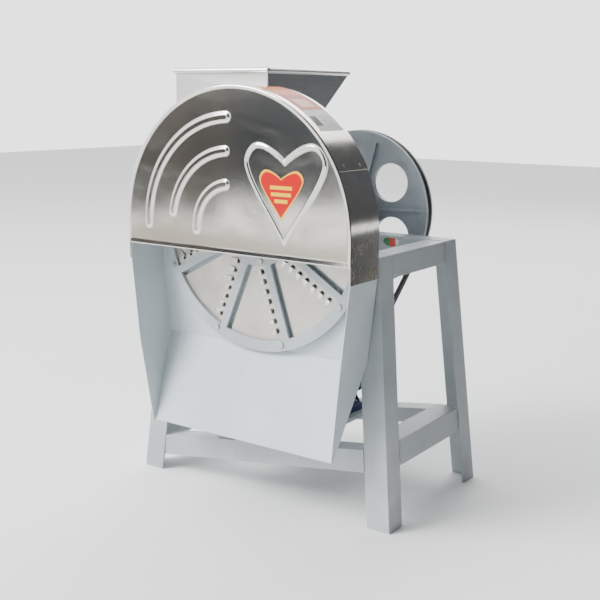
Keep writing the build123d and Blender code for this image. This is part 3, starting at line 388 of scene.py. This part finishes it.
def mirrorSteel(name, spread=0.09, tint=None):
    # polished stainless sheet with fine scratches, smears and a slightly warm tone
    paint = Paint(name, 1.0)
    smear = paint.noise(7.0, 4, 0.6, (1, 1, 2.2), 0.6)
    scratch = paint.noise(40.0, 3, 0.7, (1, 1, 60))
    colour = paint.mix(smear.within(0.3, 0.75), linear(214, 210, 203), linear(190, 187, 181))
    if tint:
        colour = tint(paint, colour)
    paint.feed(Base_Color=colour, Roughness=spread + 0.10 * smear.within(0.5, 0.85) + 0.05 * scratch)
    return paint.bump(paint.noise(3.5, 2) * 3.0 + paint.noise(16.0, 3) * 0.25, 0.10, 0.004)


def faceTone(paint, colour):
    # painted highlight: the heart's crest and the flanks of the arcs are painted near white
    stand = paint.y - faceHigh[1]
    crestHighlight = (1.0 - stand.within(-0.0026, -0.0014)) * stand.within(-0.0036, -0.0032)
    return paint.mix(crestHighlight * 0.62, colour, linear(236, 237, 238))


def bandTone(paint, colour):
    # dried juice at the band's foot
    stains = paint.noise(38.0, 6, 0.7, warp=1.0).within(0.50, 0.62) * (1.0 - paint.z.within(0.47, 0.55))
    paint.feed(Metallic=1.0 - stains * 0.6)
    return paint.mix(stains * 0.85, colour, linear(142, 126, 96))


mirrorFace = mirrorSteel("mirrorFace", 0.08, faceTone).material
mirrorBand = mirrorSteel("mirrorBand", 0.12, bandTone).material


def brushed(name, light, dark, stretch=(1, 1, 40), roughness=0.3, scale=30.0):
    # rolled or ground steel with a fine grain along one way
    paint = Paint(name, 1.0)
    grain = paint.noise(scale, 4, 0.65, stretch)
    cloud = paint.noise(8.0, 4, 0.6)
    colour = paint.mix(grain.within(0.3, 0.7) * 0.6 + cloud.within(0.4, 0.8) * 0.4, light, dark)
    paint.feed(Base_Color=colour, Roughness=roughness + 0.14 * (grain - 0.5) + 0.12 * (cloud - 0.5))
    return paint.bump(grain, 0.12, 0.0003)


hopperSteel = brushed("hopperSteel", linear(214, 213, 211), linear(198, 196, 192),
                      (1, 1, 14), 0.30, 16.0).material

grater = {
    "hubStand": 0.012,       # from the disc's foremost point back to its frame
    "frameDepth": 0.0055,    # from the frame back to the front of the plates
}
plateFront = discLow[1] + grater["hubStand"] + grater["frameDepth"]


def graterSheet():
    # dull warm sheet; the raised teeth carry a painted highlight
    paint = Paint("graterSteel", 1.0)
    cloud = paint.noise(14.0, 4, 0.6)
    grain = paint.noise(60.0, 4, 0.65, (10, 1, 10))
    colour = paint.mix(cloud.within(0.3, 0.75), linear(206, 202, 195), linear(184, 179, 171))
    proud = 1.0 - (paint.y - plateFront).within(-0.0016, -0.0003)
    # painted highlight: the raised teeth are painted near white
    colour = paint.mix(proud * 0.95, colour, linear(250, 250, 248))
    rim = proud * (1.0 - (paint.y - plateFront).within(-0.0052, -0.0040))
    paint.feed(Base_Color=colour, Roughness=0.46 + 0.12 * (grain - 0.5) - 0.16 * rim)
    return paint.bump(grain, 0.12, 0.0003)


graterSteel = graterSheet().material
groundSteel = brushed("groundSteel", linear(190, 190, 188), linear(140, 140, 138),
                      (1, 30, 1), 0.25, 60.0).material
zincPlate = brushed("zincPlate", linear(205, 206, 202), linear(160, 160, 150),
                    (1, 1, 1), 0.32, 120.0).material
brassTurned = brushed("brassTurned", linear(205, 170, 96), linear(160, 124, 62),
                      (1, 1, 20), 0.28, 80.0).material


def castPaint(name, light, dark, roughness=0.5, rim=None):
    # painted casting: sandy surface, thin paint and dull edges
    paint = Paint(name)
    cloud = paint.noise(12.0, 5, 0.6)
    colour = paint.mix(cloud.within(0.3, 0.7), dark, light)
    grime = paint.noise(26.0, 6, 0.7, warp=0.5).within(0.58, 0.75)
    colour = paint.mix(grime * 0.4, colour, linear(64, 62, 60))
    if rim:
        colour = rim(paint, colour)
    paint.feed(Base_Color=colour, Roughness=roughness + 0.2 * grime)
    sand = paint.noise(420.0, 3, 0.6) + paint.noise(120.0, 3) * 1.4 + paint.noise(30.0, 2) * 2.0
    return paint.bump(sand, 0.35, 0.0007)


pulleyRim = {
    "from": 0.1545,          # a painted highlight lightens the flanges between these two radii
    "to": 0.1565,
}


def rimHighlight(paint, colour):
    # painted highlight: the pulley's flanges are painted lighter than its web
    reach = ((paint.x ** 2) + ((paint.z - shaftZ) ** 2)) ** 0.5
    bright = (reach + paint.noise(60.0, 3) * 0.002 - 0.001).within(pulleyRim["from"], pulleyRim["to"])
    return paint.mix(bright * 0.75, colour, linear(206, 210, 212))


pulleyPaint = castPaint("pulleyPaint", linear(164, 171, 177), linear(138, 145, 151), 0.40, rimHighlight).material
housingPaint = castPaint("housingPaint", linear(96, 104, 108), linear(74, 80, 84)).material
motorPaint = castPaint("motorPaint", linear(34, 58, 120), linear(22, 40, 92), 0.38).material
coreVarnish = castPaint("coreVarnish", linear(120, 78, 44), linear(80, 54, 34)).material


def beltRubber():
    # wrapped belt: black rubber over a diagonal fabric
    paint = Paint("beltRubber")
    weave = ((paint.x * 900 + paint.z * 900 + paint.y * 900).wave()
             + (paint.x * 900 + paint.z * 900 - paint.y * 900).wave())
    dust = paint.noise(50.0, 4, 0.6)
    colour = paint.mix(dust.within(0.45, 0.75), linear(24, 24, 25), linear(52, 50, 48))
    paint.feed(Base_Color=colour, Roughness=0.62 + 0.2 * dust)
    return paint.bump(weave * 0.3 + dust, 0.35, 0.0004)


def mouldedPlastic(name, tone, rough):
    paint = Paint(name)
    cloud = paint.noise(18.0, 4)
    paint.feed(Base_Color=paint.mix(cloud.within(0.3, 0.75), tone, linear(46, 46, 48)),
               Roughness=rough + 0.1 * cloud)
    return paint.bump(paint.noise(300.0, 2), 0.2, 0.0003)


beltBlack = beltRubber().material
fanPlastic = mouldedPlastic("fanPlastic", linear(26, 26, 28), 0.5).material
canPlastic = mouldedPlastic("canPlastic", linear(34, 34, 37), 0.35).material


def vinyl(name, tone, coat=0.06):
    # printed vinyl under a clear layer, faintly faded
    paint = Paint(name, Coat_Weight=coat, Coat_Roughness=0.25, Specular_IOR_Level=0.15)
    fade = paint.noise(30.0, 4)
    worn = tuple(0.9 * c + 0.02 for c in tone[:3]) + (1.0,)
    paint.feed(Base_Color=paint.mix(fade.within(0.45, 0.8) * 0.5, tone, worn), Roughness=0.35 + 0.12 * fade)
    return paint.bump(paint.noise(90.0, 2), 0.08, 0.0003)


vinylRed = vinyl("vinylRed", linear(192, 8, 10)).material
vinylGold = vinyl("vinylGold", linear(238, 180, 48)).material
vinylYellow = vinyl("vinylYellow", linear(240, 190, 4)).material


label = {
    "top": 80,               # degrees above level where the label begins
    "span": 35.5,
    "bandDepth": 0.0878,
}
smallSticker = {
    "start": 0.080,
    "length": 0.034,
}


def bandPrint():
    # wrap-round label: orange, red and white blocks with plain grey rules, set out by angle and depth
    paint = Paint("bandPrint", Coat_Weight=0.04, Coat_Roughness=0.3, Specular_IOR_Level=0.1)
    turn = paint.node("ShaderNodeMath", {"operation": "ARCTAN2"}, {0: paint.z - arcZ, 1: paint.x})
    angle = turn * (180 / pi)
    across = (paint.y - faceLow[1]) / label["bandDepth"]
    speckle = paint.noise(120.0, 3)
    colour = paint.ramp((label["top"] - angle) / label["span"] + (speckle - 0.5) * 0.01,
                        (0.0, linear(214, 92, 28)), (0.30, linear(222, 122, 40)), (0.34, linear(186, 34, 22)),
                        (0.55, linear(194, 40, 24)), (0.57, linear(206, 92, 40)), (0.66, linear(202, 78, 34)),
                        (0.68, linear(232, 228, 224)), (1.0, linear(238, 236, 232)))
    rules = (angle * 5.2).wave().within(0.2, 0.6)
    rules = rules * (1.0 - angle.within(52.5, 53.5)) * angle.within(45.5, 46.5)
    rules = rules * across.within(0.5, 0.52) * (1.0 - across.within(0.84, 0.86))
    colour = paint.mix(rules * 0.55, colour, linear(150, 150, 150))
    block = (1.0 - angle.within(52.0, 53.0)) * angle.within(46.5, 47.5) * across.within(0.2, 0.22)
    colour = paint.mix(block * (1.0 - across.within(0.40, 0.42)), colour, linear(44, 40, 40))
    pale = angle.within(58.0, 58.8) * (1.0 - angle.within(64.0, 64.8)) * across.within(0.3, 0.34)
    colour = paint.mix(pale * (1.0 - across.within(0.74, 0.78)) * 0.7, colour, linear(244, 214, 180))
    paint.feed(Base_Color=colour, Roughness=0.3 + 0.1 * speckle)
    return paint.bump(speckle, 0.05, 0.0002)


def stickerPrint():
    # small oval sticker: green one end, red middle, white end
    paint = Paint("stickerPrint", Coat_Weight=0.4, Coat_Roughness=0.2)
    along = (paint.x - smallSticker["start"]) / smallSticker["length"]
    colour = paint.ramp(along + (paint.noise(90.0, 3) - 0.5) * 0.12, (0.0, linear(52, 112, 62)),
                        (0.38, linear(70, 120, 60)), (0.44, linear(204, 62, 44)), (0.78, linear(214, 74, 50)),
                        (0.84, linear(236, 232, 226)), (1.0, linear(240, 238, 232)))
    paint.feed(Base_Color=colour, Roughness=0.4 + 0.1 * paint.noise(40.0, 2))
    return paint.bump(paint.noise(60.0, 2), 0.1, 0.0003)


bandLabel = bandPrint().material
railSticker = stickerPrint().material
print("materials made")


# cover face
face = {
    "skin": 0.0010,
    "beadHeight": 0.0028,
    "beadEdge": 0.0045,      # how wide a bead's flank is
    "lipWidth": 0.0050,
    "lipHeight": 0.0019,
    "hemReach": 0.0090,      # the bottom edge swells gently forward
    "hemHeight": 0.0007,
    "heartHeight": 0.0020,
    "heartLine": 0.0070,
    "heartMiddle": (0.111, 0.029),
    "heartSize": (0.155, 0.157),
    "beads": ((0.178, 0.196, 93, 181), (0.123, 0.140, 95, 171), (0.067, 0.085, 99, 184)),
    "seat": (0.104, 0.112, 0.052, 0.030),      # flat round the sticker: middle, reach and fade
    "rings": 148,
    "turns": 240,
    "drops": 22,             # rows below the half circle
    "wave": 0.00035,
    "calmEdge": 0.03,        # the sheet lies flat this close to its edge
}


def hermite(a, b, da, db, steps):
    for i in range(steps):
        t = i / steps
        yield tuple(a[k] * (2 * t ** 3 - 3 * t ** 2 + 1) + da[k] * (t ** 3 - 2 * t ** 2 + t)
                    + b[k] * (3 * t ** 2 - 2 * t ** 3) + db[k] * (t ** 3 - t ** 2) for k in (0, 1))


def heartOutline(width, tall, steps=24):
    # closed outline of a heart whose tip is at the origin
    half = width / 2
    tip, outer, crown, notch = (0, 0), (half, tall * 0.80), (half * 0.68, tall), (0, tall * 0.83)
    side = list(hermite(tip, outer, (half * 1.0, tall * 0.80), (half * 0.25, tall * 0.62), steps))
    side += list(hermite(outer, crown, (half * 0.08, tall * 0.20), (-half * 0.62, 0), steps))
    side += list(hermite(crown, notch, (-half * 0.62, 0), (-half * 0.42, -tall * 0.20), steps))
    return side + [notch] + [(-x, z) for x, z in reversed(side[1:])]


def beadShape(distance, half, edge):
    # height from 0 to 1 across a bead from the distance to its centre line
    t = np.clip((half - distance) / edge, 0, 1)
    return t * t * (3 - 2 * t)


def faceHeight(x, z, values):
    # how far the pressed sheet stands forward at points of the face
    dx, dz = x, z - arcZ
    reach = np.hypot(dx, dz)
    angle = np.degrees(np.arctan2(dz, dx)) % 360
    angle = np.where(angle > 300, angle - 360, angle)
    height = np.zeros_like(x)
    for inner, outer, start, end in values["beads"]:
        middle, half = (inner + outer) / 2, (outer - inner) / 2
        held = np.radians(np.clip(angle, start, end))
        away = np.hypot(dx - middle * np.cos(held), dz - middle * np.sin(held))
        shape = beadShape(away, half, values["beadEdge"])
        height = np.maximum(height, shape * values["beadHeight"])
    ox, oz = values["heartMiddle"]
    outline = np.array(heartOutline(*values["heartSize"])) + (ox, coverBottom + oz)
    outline = np.vstack([outline, outline[:1]])
    near = np.full_like(x, 1.0)
    for (ax, az), (bx, bz) in zip(outline[:-1], outline[1:]):
        ux, uz = bx - ax, bz - az
        t = np.clip(((x - ax) * ux + (z - az) * uz) / (ux * ux + uz * uz + 1e-12), 0, 1)
        near = np.minimum(near, np.hypot(x - ax - t * ux, z - az - t * uz))
    half = values["heartLine"] / 2
    height = np.maximum(height, beadShape(near, half, half) * values["heartHeight"])
    edge = np.where(dz > 0, coverHalf - reach, coverHalf - np.abs(dx))
    lip = values["lipWidth"] / 2
    height = np.maximum(height, np.sqrt(np.clip(1 - ((edge - lip) / lip) ** 2, 0, 1)) * values["lipHeight"])
    low = z - coverBottom
    hem = np.clip(low / values["hemReach"], 0, 1)
    return np.maximum(height, (1 - hem * hem * (3 - 2 * hem)) * values["hemHeight"])


def makeCoverFace(values):
    bm = bmesh.new()
    rings = [coverHalf * i / values["rings"] for i in range(values["rings"] + 1)]
    row = [bm.verts.new((r, 0, 0)) for r in rings]
    spokes = [bm.edges.new(pair) for pair in zip(row[:-1], row[1:])]
    bmesh.ops.spin(bm, geom=spokes, cent=(0, 0, 0), axis=(0, -1, 0), angle=pi, steps=values["turns"],
                   use_duplicate=False)
    bmesh.ops.remove_doubles(bm, verts=bm.verts, dist=0.000002)
    bottom = [e for e in bm.edges if all(abs(v.co.z) < 1e-6 for v in e.verts)]
    drop = arcZ - coverBottom
    for _ in range(values["drops"]):
        made = bmesh.ops.extrude_edge_only(bm, edges=bottom)["geom"]
        moved = [v for v in made if isinstance(v, bmesh.types.BMVert)]
        bmesh.ops.translate(bm, verts=moved, vec=(0, 0, -drop / values["drops"]))
        bottom = [e for e in made if isinstance(e, bmesh.types.BMEdge)]
    bmesh.ops.translate(bm, verts=bm.verts, vec=(0, 0, arcZ))
    xs = np.array([v.co.x for v in bm.verts])
    zs = np.array([v.co.z for v in bm.verts])
    height = faceHeight(xs, zs, values)
    calm = np.clip((coverHalf - np.hypot(xs, np.maximum(zs - arcZ, 0))) / values["calmEdge"], 0, 1)
    seatX, seatZ, reach, fade = values["seat"]
    calm *= np.clip((np.hypot(xs - seatX, zs - coverBottom - seatZ) - reach) / fade, 0, 1)
    skin = faceHigh[1] - values["skin"]
    for v, up, quiet in zip(bm.verts, height, calm):
        swell = noise.noise(Vector((v.co.x * 5, 3.7, v.co.z * 5))) * values["wave"] * quiet
        v.co.y = skin - up + swell
    piece = newObject("cover_face_sheet", bm, mirrorFace, smooth=60)
    wall = piece.modifiers.new("wall", "SOLIDIFY")
    wall.thickness = values["skin"] * 0.95
    wall.offset = -1.0
    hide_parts("cover_face")
    return piece


makeCoverFace(face)


# stickers on the face
heartSticker = {
    "middle": (0.104, 0.065),
    "size": (0.088, 0.082),
    "border": 0.0030,
    "lift": 1.6,             # the red heart's tip stands this many borders above the gold one
    "trim": 2.9,             # and it is this many borders shorter
    "film": 0.00012,
    "bars": ((0.0535, 0.044), (0.0425, 0.040), (0.0315, 0.026)),      # height and length
    "barHalf": 0.0030,
}


def flatPiece(bm, outline, y, thickness, index):
    # a thin plate from a closed (x, z) outline whose front is at y
    rim = [bm.verts.new((px, y + thickness, pz)) for px, pz in outline]
    sheetFace = bm.faces.new(rim)
    sheetFace.material_index = index
    made = bmesh.ops.extrude_face_region(bm, geom=[sheetFace])["geom"]
    moved = [v for v in made if isinstance(v, bmesh.types.BMVert)]
    bmesh.ops.translate(bm, verts=moved, vec=(0, -thickness, 0))
    for one in made:
        if isinstance(one, bmesh.types.BMFace):
            one.material_index = index
            for edge in one.edges:
                for side in edge.link_faces:
                    side.material_index = index


def makeHeartSticker(values):
    low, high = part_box("heart_decal")
    bm = bmesh.new()
    ox, oz = values["middle"]
    oz += coverBottom
    width, tall = values["size"]
    film = values["film"]
    border = values["border"]
    front = high[1] - film
    outline = [(ox + px, oz + pz) for px, pz in heartOutline(width, tall, 14)]
    flatPiece(bm, outline, front, film, 0)
    scale = (width - 2 * border) / width
    inner = [(ox + px * scale, oz + border * values["lift"] + pz * (tall - values["trim"] * border) / tall)
             for px, pz in heartOutline(width, tall, 14)]
    flatPiece(bm, inner, front - film, film, 1)
    for middle, length in values["bars"]:
        bar = [(ox + sx * length / 2, oz + middle + sz * values["barHalf"])
               for sx, sz in ((-1, -1), (1, -1), (1, 1), (-1, 1))]
        flatPiece(bm, bar, front - 2 * film, film, 2)
    piece = newObject("heart_sticker", bm, [vinylGold, vinylRed, vinylYellow], smooth=0)
    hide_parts("heart_decal")


makeHeartSticker(heartSticker)
softEdged("band_label", bandLabel, 0, smooth=45)
softEdged("rail_sticker", railSticker, 0, smooth=45)
print("cover made")


# CAD nodes with rounded edges and finished materials
finishes = (
    (frameEnamel, 0.0011, ("leg_front_left", "leg_front_right", "leg_rear_left", "leg_rear_right",
                           "top_rail_front", "top_rail_rear", "top_rail_left", "top_rail_right",
                           "lower_rail_front", "lower_rail_rear", "lower_rail_left", "lower_rail_right",
                           "motor_base_plate", "back_plate_packer")),
    (panelEnamel, 0.0004, ("back_plate", "side_panel_left", "side_panel_right", "chute_panel")),
    (mirrorBand, 0.0003, ("cover_band_upper", "cover_band_left", "cover_band_right")),
    (hopperSteel, 0.0003, ("hopper_front", "hopper_rear", "hopper_left", "hopper_right", "hopper_rim")),
    (discEnamel, 0.0009, ("cutting_disc",)),
    (graterSteel, 0.0002, ("grater_plates",)),
    (groundSteel, 0.0005, ("main_shaft", "motor_shaft", "pulley_key", "motor_key", "bearing_outer_rings",
                           "bearing_inner_rings", "bearing_balls")),
    (zincPlate, 0.0005, ("back_plate_bolts", "cover_rivets", "hopper_bolts", "bearing_bolts", "plate_screws",
                         "disc_nut", "motor_bolts")),
    (brassTurned, 0.0003, ("grease_nipples",)),
    (pulleyPaint, 0.0012, ("big_pulley", "motor_pulley")),
    (housingPaint, 0.0015, ("bearing_housing_front", "bearing_housing_rear")),
    (motorPaint, 0.0008, ("motor_housing", "motor_end_bell_drive", "motor_end_bell_fan", "motor_fan_cover",
                          "motor_terminal_box")),
    (coreVarnish, 0.0, ("motor_stator",)),
    (beltBlack, 0.0006, ("v_belt",)),
    (fanPlastic, 0.0005, ("motor_fan",)),
    (canPlastic, 0.0008, ("motor_capacitor",)),
)

for finish, edge, nodes in finishes:
    for node in nodes:
        softEdged(node, finish, edge)
print("CAD nodes finished")


# weld beads where the rails meet the legs
weld = {
    "radius": 0.0021,
    "sink": 0.0006,          # how far a bead's middle stands off the faces it joins
    "ripple": 0.22,
    "uneven": 0.3,
    "pitch": 0.0032,
    "sides": 8,
    "inset": 0.003,          # a bead stops short of the rail's edges
    "splayX": 0.047,         # how far a leg leans sideways and backwards over its height
    "splayY": 0.0241,
    "flange": 0.045,
}


def addBead(bm, start, end, values, seed):
    # rings of uneven size along a line, bridged one to the next
    start, end = Vector(start), Vector(end)
    along = (end - start).normalized()
    side = along.orthogonal().normalized()
    turned = Matrix((side, along.cross(side), along)).transposed().to_4x4()
    count = max(4, int((end - start).length / values["pitch"] * 3))
    before = []
    for i in range(count + 1):
        t = i / count
        middle = start.lerp(end, t)
        uneven = noise.noise(middle * 90 + Vector((seed, 0, 0)))
        swell = 1 + values["ripple"] * sin(2 * pi * t * count / 3) + values["uneven"] * uneven
        radius = values["radius"] * swell * min(1, 0.35 + 6 * min(t, 1 - t))
        made = bmesh.ops.create_circle(bm, segments=values["sides"], radius=radius, cap_ends=i in (0, count),
                                       matrix=Matrix.Translation(middle) @ turned)["verts"]
        ring = list(dict.fromkeys(edge for v in made for edge in v.link_edges))
        if before:
            bmesh.ops.bridge_loops(bm, edges=before + ring)
        before = ring


def makeWelds(values):
    bm = bmesh.new()
    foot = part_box("leg_front_right")[1][0]
    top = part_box("top_rail_right")[1][2]
    lean = values["splayX"] / top
    inset, sink = values["inset"], values["sink"]
    seed = 0
    for rail in ("top_rail_right", "top_rail_left", "lower_rail_right", "lower_rail_left"):
        low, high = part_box(rail)
        way = 1 if rail.endswith("right") else -1
        for y in (low[1], high[1]):
            ends = [(way * (foot - lean * z + sink), y, z) for z in (low[2] + inset, high[2] - inset)]
            addBead(bm, *ends, values, seed)
            seed += 7
    for rail in ("top_rail_front", "top_rail_rear"):
        low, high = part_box(rail)
        way = -1 if rail.endswith("front") else 1
        outer = low[1] if way < 0 else high[1]
        leanY = values["splayY"] / top
        for sideX in (-1, 1):
            ends = [(sideX * (foot - lean * z - values["flange"]),
                     outer - way * leanY * (z - low[2]) + way * sink, z)
                    for z in (low[2] + inset, high[2] - inset)]
            addBead(bm, *ends, values, seed)
            seed += 7
    newObject("rail_welds", bm, frameEnamel, smooth=60)


makeWelds(weld)
print("welds made")
